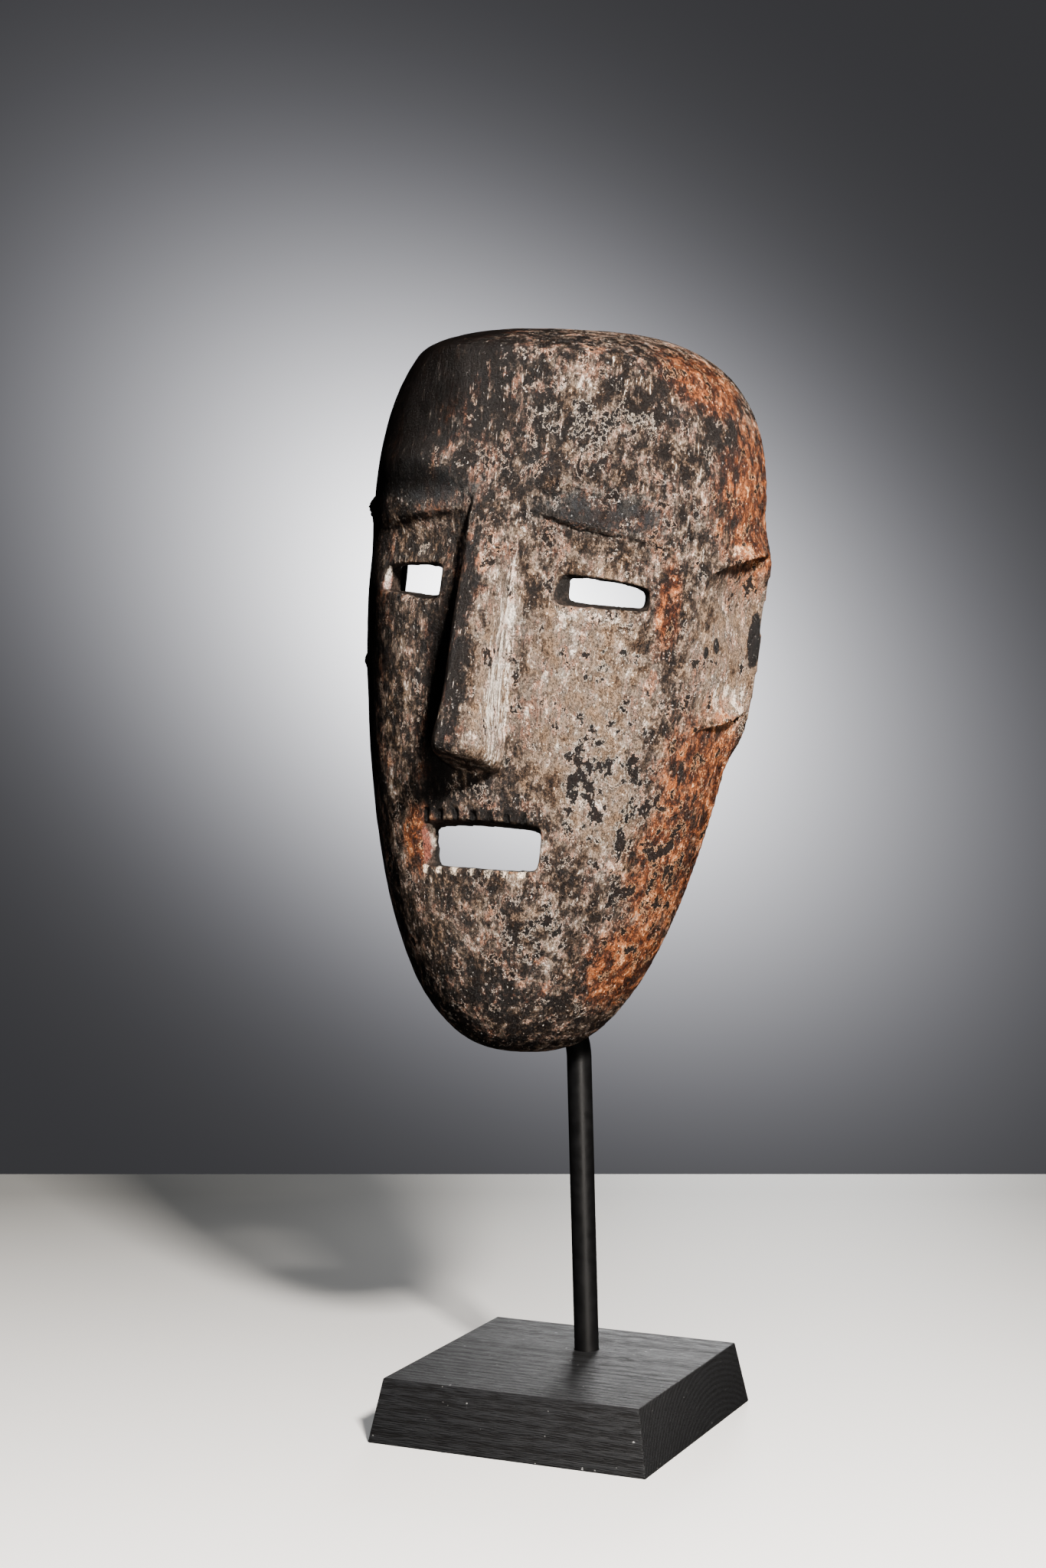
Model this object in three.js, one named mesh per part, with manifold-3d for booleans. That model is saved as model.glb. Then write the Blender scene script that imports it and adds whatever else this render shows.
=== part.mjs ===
// A carved wooden face mask, held by a bent steel rod on a bevelled wooden plinth.
// Millimetres, +Z up. The origin is the centre of the plinth's underside, and the face looks along -Y.

import * as THREE from 'three';
import { mergeVertices } from 'three/addons/utils/BufferGeometryUtils.js';
import Module from 'manifold-3d';

const wasm = await Module();
wasm.setup();

// Stand
const plinthSide = 140;
const plinthHeight = 30;
const plinthInset = 5.5; // the top is this much smaller on each side
const rodRadius = 6;
const rodSides = 16;
const rodFoot = new THREE.Vector2(2.3, 23.5); // where the rod leaves the plinth's top
const rodSunk = 20; // length inside the plinth
const rodBend = { height: 172, x: 0.3, y: 18.5, radius: 20, angle: 50, steps: 6 };
const rodReach = 85; // straight length past the bend, trimmed by the mask's inner face
const gap = 0.3; // clearance between pieces that touch

// Place of the mask: its middle, and how far it leans back and rolls to the viewer's right
const maskMiddle = new THREE.Vector3(-4.6, 2.8, 350.8);
const maskLeanBack = 4.2;
const maskRoll = 5.35;

// Mask, in its own frame: x to the viewer's right, y back, z up from the chin, rim on y = 0.
// A swelling is full at its peak height and closes at chin and crown as superellipse arcs.
const maskHeight = 343;
const outline = { full: 95.4, peak: 233, chin: [1.85, 2.56], crown: [3.1, 2.8] };
const profile = { full: 90, peak: 320, chin: [1.2, 3.8], crown: [1.5, 1.5] };
const roundness = { chin: 1.8, crown: 2.55 }; // exponent of the level sections
const hollow = { rimWall: 9, faceWall: 14, chinWall: 11, crownWall: 12 };
const faceAxis = -1.6; // the features sit a little to the viewer's left

// Relief of the face
const brow = { height: 262, arch: 7, from: 8, to: 82, fadeIn: 16, fadeOut: 18, half: 13, proud: 3.2 };
const socket = { across: 46, height: 229, halfWidth: 42, halfHeight: 24, deep: 6 };
const nose = {
  axis: -4, root: 262, tip: 137, base: 129, rise: 28, sunk: 7,
  halfWidth: 11.8, flare: 3.2, flareHeight: 26, cornerRound: 6.5, squareness: 3.8,
  riseCurve: 0.8, tipCurve: 3, // how the rise grows downwards, and how the underside tucks back
  underNarrow: 3.5, underDrop: 2.5, // the rounding of the lower edge
  columns: 12, rows: 10, rowSpread: 1.25,
};
const reliefFade = 20; // the relief dies out over this depth in front of the rim

// Openings: edges as they cross the plane at `depth` in front of the rim, and how they splay outwards
// (inner, outer, low, high). Behind `tallFrom` the height stays the same. A tilt lifts the right end.
const eye = {
  axis: faceAxis, depth: 72, inner: 30.5, outer: 76, low: 207.5, high: 222.8,
  splay: [20, 38, 15, 12], tallFrom: -30, tilt: 0,
};
const farEye = { ...eye, tallFrom: -8 };
const mouth = {
  axis: -2.9, depth: 64, inner: -31, outer: 31, low: 86.3, high: 106.6,
  splay: [30, 22, 2, 15], tallFrom: -30, tilt: 3.8,
};
const cutReach = { inside: -30, outside: 34 };
const notch = { axis: -4.4, count: 7, pitch: 8.4, width: 2.6, high: 6.2, low: 2.8, deep: 2.4, overlap: 1 };

// Ears: two ledges and the scoop between them, by distance in front of the rim and height
const ear = {
  upper: { front: 44, start: 229.3, rise: 14.5, bow: (s) => 1 - (1 - s) ** 2.5, proud: 7, run: 17 },
  lower: { front: 36, start: 160.6, rise: 15, bow: (s) => s ** 1.4, proud: 6.5, run: 20 },
  scoop: { front: 20, height: 219, halfFront: 30, halfHeight: 32, deep: 5 },
  flare: { low: 142, high: 262, fade: 24, front: 15, proud: 5.2, farProud: 2.4 },
  ledgeSteps: 8,
  crestSpan: [0.03, 0.86], // part of a half wave that the crest stands out along, front to rim
  frontRun: 0.35, // height of the ledge's upper slope at its front end, against its full run
  seat: -1.5, // the slope's upper edge sinks into the side
  beyondRim: 2,
  tuck: 5, // how far a ledge reaches into the wall
  lift: 12, // the ear at the viewer's left sits this much higher
};

// Facets of the outer and inner faces, and how much closer the rows lie at chin and crown
const outerFacets = { columns: 96, rows: 58 };
const innerFacets = { columns: 56, rows: 32 };
const bunching = 0.85;
const behindRimSize = [400, 200, 500]; // block that takes away everything behind the rim

const { clamp, degToRad, lerp, smoothstep } = THREE.MathUtils;

// Moves every vertex of a geometry to place(vertex)
function reshape(geometry, place) {
  const position = geometry.attributes.position;
  const vertex = new THREE.Vector3();
  for (let i = 0; i < position.count; i += 1) {
    vertex.fromBufferAttribute(position, i);
    const moved = place(vertex);
    position.setXYZ(i, moved.x, moved.y, moved.z);
  }
  return geometry;
}

// A three.js geometry as a solid that can be joined and cut
function solid(geometry) {
  const bare = geometry.clone();
  bare.deleteAttribute('normal');
  bare.deleteAttribute('uv');
  const merged = mergeVertices(bare, 1e-4);
  const vertProperties = new Float32Array(merged.attributes.position.array);
  const triVerts = new Uint32Array(merged.index.array);
  return new wasm.Manifold(new wasm.Mesh({ numProp: 3, vertProperties, triVerts }));
}

// A solid back as a geometry
function geometryOf(body) {
  const mesh = body.getMesh();
  const geometry = new THREE.BufferGeometry();
  geometry.setAttribute('position', new THREE.BufferAttribute(mesh.vertProperties, 3));
  geometry.setIndex(new THREE.BufferAttribute(mesh.triVerts, 1));
  geometry.computeVertexNormals();
  return geometry;
}

function signedPower(value, exponent) {
  return Math.sign(value) * Math.abs(value) ** exponent;
}

// Width or depth of the mask at a height above the chin
function swell(height, { full, peak, chin, crown }) {
  const below = height < peak;
  const away = below ? (peak - height) / peak : (height - peak) / (maskHeight - peak);
  const [reach, round] = below ? chin : crown;
  return full * Math.max(0, 1 - clamp(away, 0, 1) ** reach) ** (1 / round);
}

function roundnessAt(height) {
  return lerp(roundness.chin, roundness.crown, height / maskHeight);
}

// Depth of the plain dome in front of the rim plane, at x and height
function domeDepth(x, height) {
  const n = roundnessAt(height);
  const across = clamp(Math.abs(x) / swell(height, outline), 0, 1);
  return swell(height, profile) * (1 - across ** n) ** (1 / n);
}

// Half width of the plain dome, at a distance in front of the rim plane and a height
function domeHalfWidth(front, height) {
  const n = roundnessAt(height);
  const along = clamp(front / swell(height, profile), 0, 1);
  return swell(height, outline) * (1 - along ** n) ** (1 / n);
}

// 1 in the middle of an oval patch, falling smoothly to 0 at its edge
function patch(across, up) {
  return Math.max(0, 1 - across ** 2 - up ** 2) ** 2;
}

// How far the brows stand out and the sockets sink at a place on the face
function faceRelief(x, height) {
  const across = Math.abs(x - faceAxis);
  const along = clamp((across - brow.from) / (brow.to - brow.from), 0, 1);
  const crest = brow.height + brow.arch * Math.sin(along * Math.PI);
  const ends = smoothstep(across, brow.from, brow.from + brow.fadeIn)
    * (1 - smoothstep(across, brow.to - brow.fadeOut, brow.to));
  const raised = brow.proud * ends * patch(0, (height - crest) / brow.half);
  const sunk = socket.deep * patch((across - socket.across) / socket.halfWidth,
    (height - socket.height) / socket.halfHeight);
  return raised - sunk;
}

// How far the side of the mask moves out at an ear
function earRelief(front, height, proud) {
  const { scoop, flare } = ear;
  const sunk = scoop.deep * patch((front - scoop.front) / scoop.halfFront,
    (height - scoop.height) / scoop.halfHeight);
  const inBand = smoothstep(height, flare.low, flare.low + flare.fade)
    * (1 - smoothstep(height, flare.high - flare.fade, flare.high));
  return proud * inBand * (1 - smoothstep(front, 0, flare.front)) - sunk;
}

// A closed dome from a sphere: rows run from chin to crown and columns round each level section
function dome({ columns, rows }, place) {
  const sphere = new THREE.SphereGeometry(1, columns, rows).rotateX(Math.PI / 2);
  return reshape(sphere, (p) => {
    const v = Math.acos(clamp(-p.z, -1, 1)) / Math.PI;
    const height = maskHeight * (v - bunching * Math.sin(2 * Math.PI * v) / (2 * Math.PI));
    const turn = Math.atan2(p.x, -p.y);
    const n = roundnessAt(height);
    const x = swell(height, outline) * signedPower(Math.sin(turn), 2 / n);
    const y = -swell(height, profile) * signedPower(Math.cos(turn), 2 / n);
    return place(new THREE.Vector3(x, y, height));
  });
}

function outerDome() {
  return solid(dome(outerFacets, (p) => {
    const side = Math.sign(p.x);
    const front = Math.max(0, -p.y);
    const [lift, proud] = side < 0 ? [ear.lift, ear.flare.farProud] : [0, ear.flare.proud];
    return new THREE.Vector3(
      p.x + side * earRelief(front, p.z - lift, proud),
      p.y - faceRelief(p.x, p.z) * smoothstep(front, 0, reliefFade),
      p.z,
    );
  }));
}

function innerDome() {
  const scaleX = 1 - hollow.rimWall / outline.full;
  const scaleY = 1 - hollow.faceWall / profile.full;
  const scaleZ = 1 - (hollow.chinWall + hollow.crownWall) / maskHeight;
  return solid(dome(innerFacets, (p) => (
    new THREE.Vector3(p.x * scaleX, p.y * scaleY, hollow.chinWall + p.z * scaleZ)
  )));
}

// The nose: a straight slab that stands out more towards its flared tip, with a sloping underside
function noseSolid() {
  const block = new THREE.BoxGeometry(2, 1, 1, nose.columns, 1, nose.rows);
  return solid(reshape(block, (p) => {
    const up = p.z + 0.5;
    const height = lerp(nose.base, nose.root, up ** nose.rowSpread);
    const down = clamp((nose.root - height) / (nose.root - nose.tip), 0, 1);
    const under = (1 - clamp((height - nose.base) / nose.cornerRound, 0, 1)) ** 2;
    const flare = nose.flare * (1 - smoothstep(height, nose.tip, nose.tip + nose.flareHeight));
    const halfWidth = nose.halfWidth + flare - nose.underNarrow * under;
    const rounding = (1 - Math.abs(p.x) ** nose.squareness) ** (1 / nose.squareness);
    const rise = nose.rise * down ** nose.riseCurve - nose.underDrop * under;
    const foot = domeDepth(nose.axis, height) - nose.sunk;
    const isFront = p.y < 0;
    const front = isFront ? foot + (rise + nose.sunk) * rounding : foot;
    const lift = isFront ? (nose.tip - nose.base) * rounding * (1 - up) ** nose.tipCurve : 0;
    return new THREE.Vector3(nose.axis + p.x * halfWidth, -front, height + lift);
  }));
}

// How far a place beside an opening's axis is lifted by its tilt
function tiltRise(across, { tilt }) {
  return across * Math.tan(degToRad(tilt));
}

// A four-sided cutter whose walls splay outwards. Its middle station lies at tallFrom.
function splayedCutter(opening) {
  const { axis, inner, outer, low, high, depth, splay, tallFrom } = opening;
  const [tanInner, tanOuter, tanLow, tanHigh] = splay.map((angle) => Math.tan(degToRad(angle)));
  const stations = [cutReach.outside, tallFrom, cutReach.inside];
  const steps = tallFrom > cutReach.inside ? 2 : 1;
  const cutter = reshape(new THREE.BoxGeometry(1, 1, 1, 1, steps, 1), (p) => {
    const ahead = stations[Math.round((p.y + 0.5) * 2)];
    const tall = Math.max(ahead, tallFrom);
    const across = p.x < 0 ? inner - ahead * tanInner : outer + ahead * tanOuter;
    const height = p.z < 0 ? low - tall * tanLow : high + tall * tanHigh;
    return new THREE.Vector3(across, -depth - ahead, height + tiltRise(across, opening));
  });
  return solid(cutter).translate([axis, 0, 0]);
}

// Short slots that stand for teeth along both lips
function notchCutters() {
  const cutters = [];
  for (let i = 0; i < notch.count; i += 1) {
    const x = notch.axis + (i - (notch.count - 1) / 2) * notch.pitch;
    for (const [edge, height] of [[mouth.high, notch.high], [mouth.low, -notch.low]]) {
      const middle = edge + height / 2 + tiltRise(x - mouth.axis, mouth);
      const tall = Math.abs(height) + 2 * notch.overlap;
      const slot = new THREE.BoxGeometry(notch.width, 2 * notch.deep, tall);
      slot.translate(x, -domeDepth(x, middle), middle - Math.sign(height) * notch.overlap);
      cutters.push(solid(slot));
    }
  }
  return cutters;
}

// One ledge of an ear: it rises from the side of the head and drops at its lower edge
function ledge({ front, start, rise, bow, proud, run }) {
  return solid(reshape(new THREE.BoxGeometry(1, 1, 1, 1, ear.ledgeSteps, 1), (p) => {
    const along = p.y + 0.5;
    const distance = lerp(front, -ear.beyondRim, along);
    const crestHeight = start + rise * bow(along);
    const height = p.z > 0 ? crestHeight + run * lerp(ear.frontRun, 1, along) : crestHeight;
    const surface = domeHalfWidth(Math.max(0, distance), height);
    const onCrest = p.x > 0 && p.z < 0;
    const out = onCrest ? proud * Math.sin(Math.PI * lerp(...ear.crestSpan, along)) : ear.seat;
    return new THREE.Vector3(p.x > 0 ? surface + out : surface - ear.tuck, -distance, height);
  }));
}

function maskSolid() {
  const farEar = (body) => body.mirror([1, 0, 0]).translate([0, 0, ear.lift]);
  const farSide = (body) => body.mirror([1, 0, 0]).translate([2 * faceAxis, 0, 0]);
  let mask = outerDome().add(noseSolid());
  for (const part of [ledge(ear.upper), ledge(ear.lower)]) {
    mask = mask.add(part).add(farEar(part));
  }
  const behindRim = new THREE.BoxGeometry(...behindRimSize);
  behindRim.translate(0, behindRimSize[1] / 2, maskHeight / 2);
  mask = mask.subtract(solid(behindRim)).subtract(innerDome());
  mask = mask.subtract(splayedCutter(eye)).subtract(farSide(splayedCutter(farEye)));
  mask = mask.subtract(splayedCutter(mouth));
  for (const cutter of notchCutters()) {
    mask = mask.subtract(cutter);
  }
  return mask;
}

// Stations of the rod's centre line: foot, start of the bend, the bend's arc, and the far end
function rodStations() {
  const foot = new THREE.Vector3(rodFoot.x, rodFoot.y, plinthHeight);
  const bendStart = new THREE.Vector3(rodBend.x, rodBend.y, rodBend.height);
  const up = bendStart.clone().sub(foot).normalize();
  const start = foot.clone().addScaledVector(up, -rodSunk);
  const stations = [{ at: start, tilt: 0 }, { at: bendStart, tilt: 0 }];
  const forward = new THREE.Vector3(0, -1, 0);
  for (let i = 1; i <= rodBend.steps; i += 1) {
    const tilt = degToRad(rodBend.angle) * i / rodBend.steps;
    const at = bendStart.clone()
      .addScaledVector(up, rodBend.radius * Math.sin(tilt))
      .addScaledVector(forward, rodBend.radius * (1 - Math.cos(tilt)));
    stations.push({ at, tilt });
  }
  const last = stations[stations.length - 1];
  const end = last.at.clone()
    .addScaledVector(up, rodReach * Math.cos(last.tilt))
    .addScaledVector(forward, rodReach * Math.sin(last.tilt));
  stations.push({ at: end, tilt: last.tilt });
  return stations;
}

function rodGeometry() {
  const stations = rodStations();
  const rows = stations.length - 1;
  const bar = new THREE.CylinderGeometry(rodRadius, rodRadius, rows, rodSides, rows);
  return reshape(bar, (p) => {
    const { at, tilt } = stations[Math.round(p.y + rows / 2)];
    return new THREE.Vector3(
      at.x + p.x,
      at.y - p.z * Math.cos(tilt),
      at.z - p.z * Math.sin(tilt),
    );
  });
}

function plinthGeometry() {
  const block = new THREE.BoxGeometry(plinthSide, plinthSide, plinthHeight);
  block.translate(0, 0, plinthHeight / 2);
  const topScale = 1 - 2 * plinthInset / plinthSide;
  return reshape(block, (p) => {
    const scale = p.z > 0 ? topScale : 1;
    return new THREE.Vector3(p.x * scale, p.y * scale, p.z);
  });
}

const maskStand = new THREE.Group();

const woodPatina = new THREE.MeshStandardMaterial({ color: '#5a4436', roughness: 0.55, metalness: 0 });
const blackSteel = new THREE.MeshStandardMaterial({ color: '#121213', roughness: 0.45, metalness: 0.2 });
const blackWood = new THREE.MeshStandardMaterial({ color: '#17181a', roughness: 0.7, metalness: 0 });

const maskBody = maskSolid();
const maskMesh = new THREE.Mesh(geometryOf(maskBody), woodPatina);
maskMesh.name = 'mask';
maskMesh.position.z = -maskHeight / 2;
const maskPlace = new THREE.Group();
maskPlace.position.copy(maskMiddle);
maskPlace.rotation.set(-degToRad(maskLeanBack), degToRad(maskRoll), 0);
maskPlace.add(maskMesh);
maskStand.add(maskPlace);

// The rod's end is trimmed to lie against the inner face of the chin
maskPlace.updateMatrixWorld(true);
const placedMask = maskMesh.geometry.clone().applyMatrix4(maskMesh.matrixWorld);
const stop = solid(placedMask).translate([0, gap, 0]);
const rodMesh = new THREE.Mesh(geometryOf(solid(rodGeometry()).subtract(stop)), blackSteel);
rodMesh.name = 'rod';
maskStand.add(rodMesh);

// The plinth is bored for the foot of the rod
const [rodStart, rodBendStart] = rodStations();
const boreRadius = rodRadius + gap;
const bore = new THREE.CylinderGeometry(boreRadius, boreRadius, 2 * (rodSunk + gap), rodSides);
bore.rotateX(Math.PI / 2);
const footLean = rodBendStart.at.clone().sub(rodStart.at).normalize();
bore.applyQuaternion(new THREE.Quaternion().setFromUnitVectors(new THREE.Vector3(0, 0, 1), footLean));
bore.translate(rodFoot.x, rodFoot.y, plinthHeight);
const plinthMesh = new THREE.Mesh(geometryOf(solid(plinthGeometry()).subtract(solid(bore))), blackWood);
plinthMesh.name = 'plinth';
maskStand.add(plinthMesh);

export default maskStand;
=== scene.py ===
import math

import bmesh
import bpy
import numpy as np
from mathutils import Matrix, Vector, noise


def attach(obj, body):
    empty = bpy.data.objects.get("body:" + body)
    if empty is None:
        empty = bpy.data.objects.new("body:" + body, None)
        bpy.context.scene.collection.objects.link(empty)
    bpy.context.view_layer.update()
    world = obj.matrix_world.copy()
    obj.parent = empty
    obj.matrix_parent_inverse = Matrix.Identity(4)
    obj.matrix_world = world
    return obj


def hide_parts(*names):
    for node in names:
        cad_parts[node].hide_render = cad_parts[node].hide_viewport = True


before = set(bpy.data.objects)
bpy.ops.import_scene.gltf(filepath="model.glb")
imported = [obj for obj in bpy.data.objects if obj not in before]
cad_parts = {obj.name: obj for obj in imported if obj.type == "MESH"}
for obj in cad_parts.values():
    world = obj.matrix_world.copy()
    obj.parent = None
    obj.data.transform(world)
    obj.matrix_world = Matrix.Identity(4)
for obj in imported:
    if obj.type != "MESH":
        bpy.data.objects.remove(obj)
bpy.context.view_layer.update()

metresPerMm = 0.001


# sRGB hex to the linear colour that shaders expect
def linearColour(code):
    channels = [int(code[i:i + 2], 16) / 255 for i in (1, 3, 5)]
    linear = [c / 12.92 if c <= 0.04045 else ((c + 0.055) / 1.055) ** 2.4 for c in channels]
    return (*linear, 1.0)


# Adds a node; inputs are plain values or the output sockets that feed them
def addNode(tree, kind, settings=None, inputs=None):
    node = tree.nodes.new(kind)
    for name, value in (settings or {}).items():
        setattr(node, name, value)
    for name, value in (inputs or {}).items():
        socket = node.inputs[name]
        if isinstance(value, bpy.types.NodeSocket):
            tree.links.new(value, socket)
        else:
            socket.default_value = value
    return node


# The output of a chain of nodes that adds up value * weight over the terms
def weightedSum(tree, terms):
    total = 0.0
    for value, weight in terms:
        inputs = {0: value, 1: weight, 2: total}
        total = addNode(tree, "ShaderNodeMath", {"operation": "MULTIPLY_ADD"}, inputs).outputs[0]
    return total


def emptyMaterial(name):
    material = bpy.data.materials.new(name)
    material.use_nodes = True
    material.node_tree.nodes.clear()
    return material


def clamp(value, low, high):
    return max(low, min(high, value))


def lerp(start, end, share):
    return start + (end - start) * share


def smoothstep(value, low, high):
    share = clamp((value - low) / (high - low), 0, 1)
    return share * share * (3 - 2 * share)


def signedPower(value, exponent):
    return math.copysign(abs(value) ** exponent, value)


# 1 in the middle of an oval patch, falling smoothly to 0 at its edge
def patch(across, up):
    return max(0, 1 - across * across - up * up) ** 2


def pieceFrom(bm, name):
    mesh = bpy.data.meshes.new(name)
    bm.to_mesh(mesh)
    bm.free()
    piece = bpy.data.objects.new(name, mesh)
    bpy.context.collection.objects.link(piece)
    return piece


# Runs the piece's modifiers and keeps the result as its own mesh
def bakeModifiers(piece):
    graph = bpy.context.evaluated_depsgraph_get()
    mesh = bpy.data.meshes.new_from_object(piece.evaluated_get(graph))
    piece.modifiers.clear()
    old = piece.data
    piece.data = mesh
    bpy.data.meshes.remove(old)


# Joins or cuts the piece with others, then deletes them
def combine(piece, others, operation):
    for other in others:
        step = piece.modifiers.new(operation, "BOOLEAN")
        step.operation = operation
        step.solver = "MANIFOLD"
        step.object = other
    bakeModifiers(piece)
    for other in others:
        bpy.data.objects.remove(other)


# Camera, to the right of the mask's front and looking down a little
cameraSetup = {
    "place": (0.49911, -1.16619, 0.36545),
    "turn": 24.05,
    "lookDown": 2.62,
    "lens": 61.16,
    "sensor": 36,
}


def addCamera():
    data = bpy.data.cameras.new("photoCamera")
    data.lens = cameraSetup["lens"]
    data.sensor_width = cameraSetup["sensor"]
    data.clip_start = 0.05
    data.clip_end = 20
    camera = bpy.data.objects.new("photoCamera", data)
    camera.location = cameraSetup["place"]
    tilt = math.radians(90 - cameraSetup["lookDown"])
    camera.rotation_euler = (tilt, 0, math.radians(cameraSetup["turn"]))
    bpy.context.collection.objects.link(camera)
    bpy.context.scene.camera = camera
    print("camera set")


addCamera()


# Mask, carved from one block. Millimetres in its own frame: x to the viewer's right,
# y back, z up from the chin, with the rim on y = 0.
maskShape = {
    "middle": (-4.6, 2.8, 350.8),
    "leanBack": 4.2,
    "roll": 5.35,
    "height": 343,
    "outline": {"full": 95.4, "peak": 233, "chin": (1.85, 2.56), "crown": (3.1, 2.8)},
    "profile": {"full": 90, "peak": 320, "chin": (1.2, 3.8), "crown": (1.5, 1.5)},
    "roundness": (1.8, 2.55),  # of the level sections, chin and crown
    "rimWall": 9,
    "faceWall": 14,
    "chinWall": 11,
    "crownWall": 12,
    "faceAxis": -1.6,
    "outerFineness": 8,
    "innerFineness": 7,
    "bunching": 0.85,
    "voxel": 1.0,
    "smoothing": 3,
    "triangles": 180000,
}
rimCut = {"middle": Vector((0, 100, 170)), "half": Vector((200, 100, 250))}  # all behind the rim

brow = {
    "height": 262, "arch": 7, "from": 8, "to": 82, "fadeIn": 16, "fadeOut": 18, "half": 13, "proud": 3.2,
    "step": 2.6, "stepInner": 249, "stepOuter": 238, "stepBlur": 1.4, "stepFull": 4,
}
socket = {"across": 46, "height": 229, "halfWidth": 42, "halfHeight": 24, "deep": 6}
nose = {
    "axis": -4, "root": 262, "tip": 137, "base": 129, "rise": 28, "sunk": 7,
    "halfWidth": 11.8, "flare": 3.2, "flareHeight": 26, "cornerRound": 6.5, "squareness": 3.8,
    "riseCurve": 0.8, "tipCurve": 3, "underNarrow": 3.5, "underDrop": 2.5, "rowSpread": 1.25,
    "cuts": 24,
}
reliefFade = 20  # the relief is at full depth this far in front of the rim
eye = {
    "axis": -1.6, "depth": 72, "inner": 30.5, "outer": 76, "low": 207.5, "high": 222.8,
    "splay": (20, 38, 15, 12), "tallFrom": -30, "tilt": 0, "corner": 0.07, "arch": 0.8,
    "innerRise": 3,  # how much higher the lower lid is at the nose
}
farEye = {**eye, "tallFrom": -8, "innerRise": 0}
mouth = {
    "axis": -2.9, "depth": 64, "inner": -31, "outer": 31, "low": 86.3, "high": 106.6,
    "splay": (30, 22, 2, 15), "tallFrom": -30, "tilt": 3.8, "corner": 0.04, "arch": 0.4,
    "innerRise": 0,
}
cutter = {"inside": -30, "outside": 34, "cornerPower": 6, "cuts": 9}
notch = {
    "axis": -4.4, "count": 7, "pitch": 8.4, "width": 2.6, "high": 6.2, "low": 2.8, "deep": 2.4,
    "intoMouth": 2, "uneven": 0.5, "placeWave": 5.1, "tallWave": 2.3, "tallShare": 0.3,
}
ear = {
    "upper": {"front": 44, "start": 229.3, "rise": 14.5, "proud": 7, "run": 17, "bow": 2.5},
    "lower": {"front": 36, "start": 160.6, "rise": 15, "proud": 6.5, "run": 20, "bow": 1.4},
    "scoop": {"front": 20, "height": 219, "halfFront": 30, "halfHeight": 32, "deep": 5},
    "flare": {"low": 142, "high": 262, "fade": 24, "front": 15, "proud": 5.2, "farProud": 2.4},
    "steps": 15,
    "crestSpan": (0.03, 0.86),
    "frontRun": 0.35,
    "seat": -1.5,
    "beyondRim": 2,
    "tuck": 5,
    "lift": 12,
}
rimHoles = {
    "inset": 4.2,
    "radius": 0.9,
    "segments": 10,
    "deep": 7,
    "heights": (68.7, 74.8, 91.9, 100.1, 110.7, 118.8, 136.3, 145.5, 247, 254.4, 264.1, 276.9),
}


def swell(height, form):
    peak = form["peak"]
    below = height < peak
    away = (peak - height) / peak if below else (height - peak) / (maskShape["height"] - peak)
    reach, rounding = form["chin"] if below else form["crown"]
    return form["full"] * max(0, 1 - clamp(away, 0, 1) ** reach) ** (1 / rounding)


def roundnessAt(height):
    return lerp(*maskShape["roundness"], height / maskShape["height"])


def domeDepth(x, height):
    n = roundnessAt(height)
    across = clamp(abs(x) / swell(height, maskShape["outline"]), 0, 1)
    return swell(height, maskShape["profile"]) * (1 - across ** n) ** (1 / n)


def domeHalfWidth(front, height):
    n = roundnessAt(height)
    along = clamp(front / swell(height, maskShape["profile"]), 0, 1)
    return swell(height, maskShape["outline"]) * (1 - along ** n) ** (1 / n)


def faceRelief(x, height):
    across = abs(x - maskShape["faceAxis"])
    along = clamp((across - brow["from"]) / (brow["to"] - brow["from"]), 0, 1)
    crest = brow["height"] + brow["arch"] * math.sin(along * math.pi)
    ends = smoothstep(across, brow["from"], brow["from"] + brow["fadeIn"])
    ends *= 1 - smoothstep(across, brow["to"] - brow["fadeOut"], brow["to"])
    raised = brow["proud"] * ends * patch(0, (height - crest) / brow["half"])
    sunk = socket["deep"] * patch((across - socket["across"]) / socket["halfWidth"],
                                  (height - socket["height"]) / socket["halfHeight"])
    # the brow ends below in a crisp step that falls towards the temple
    foot = lerp(brow["stepInner"], brow["stepOuter"], along)
    below = 1 - smoothstep(height, foot - brow["stepBlur"], foot + brow["stepBlur"])
    fade = smoothstep(height, socket["height"] - socket["halfHeight"], foot - brow["stepFull"])
    step = brow["step"] * ends * below * fade
    return raised - sunk - step


def earRelief(front, height, proud):
    scoop = ear["scoop"]
    flare = ear["flare"]
    sunk = scoop["deep"] * patch((front - scoop["front"]) / scoop["halfFront"],
                                 (height - scoop["height"]) / scoop["halfHeight"])
    inBand = smoothstep(height, flare["low"], flare["low"] + flare["fade"])
    inBand *= 1 - smoothstep(height, flare["high"] - flare["fade"], flare["high"])
    return proud * inBand * (1 - smoothstep(front, 0, flare["front"])) - sunk


# A closed dome: a sphere whose rows become level sections from chin to crown
def domePiece(name, place, fineness):
    bm = bmesh.new()
    bmesh.ops.create_icosphere(bm, subdivisions=fineness, radius=1)
    for vertex in bm.verts:
        p = vertex.co
        v = math.acos(clamp(-p.z, -1, 1)) / math.pi
        height = maskShape["height"] * (v - maskShape["bunching"] * math.sin(2 * math.pi * v) / (2 * math.pi))
        turn = math.atan2(p.x, -p.y)
        n = roundnessAt(height)
        x = swell(height, maskShape["outline"]) * signedPower(math.sin(turn), 2 / n)
        y = -swell(height, maskShape["profile"]) * signedPower(math.cos(turn), 2 / n)
        vertex.co = place(Vector((x, y, height)))
    return pieceFrom(bm, name)


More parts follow.
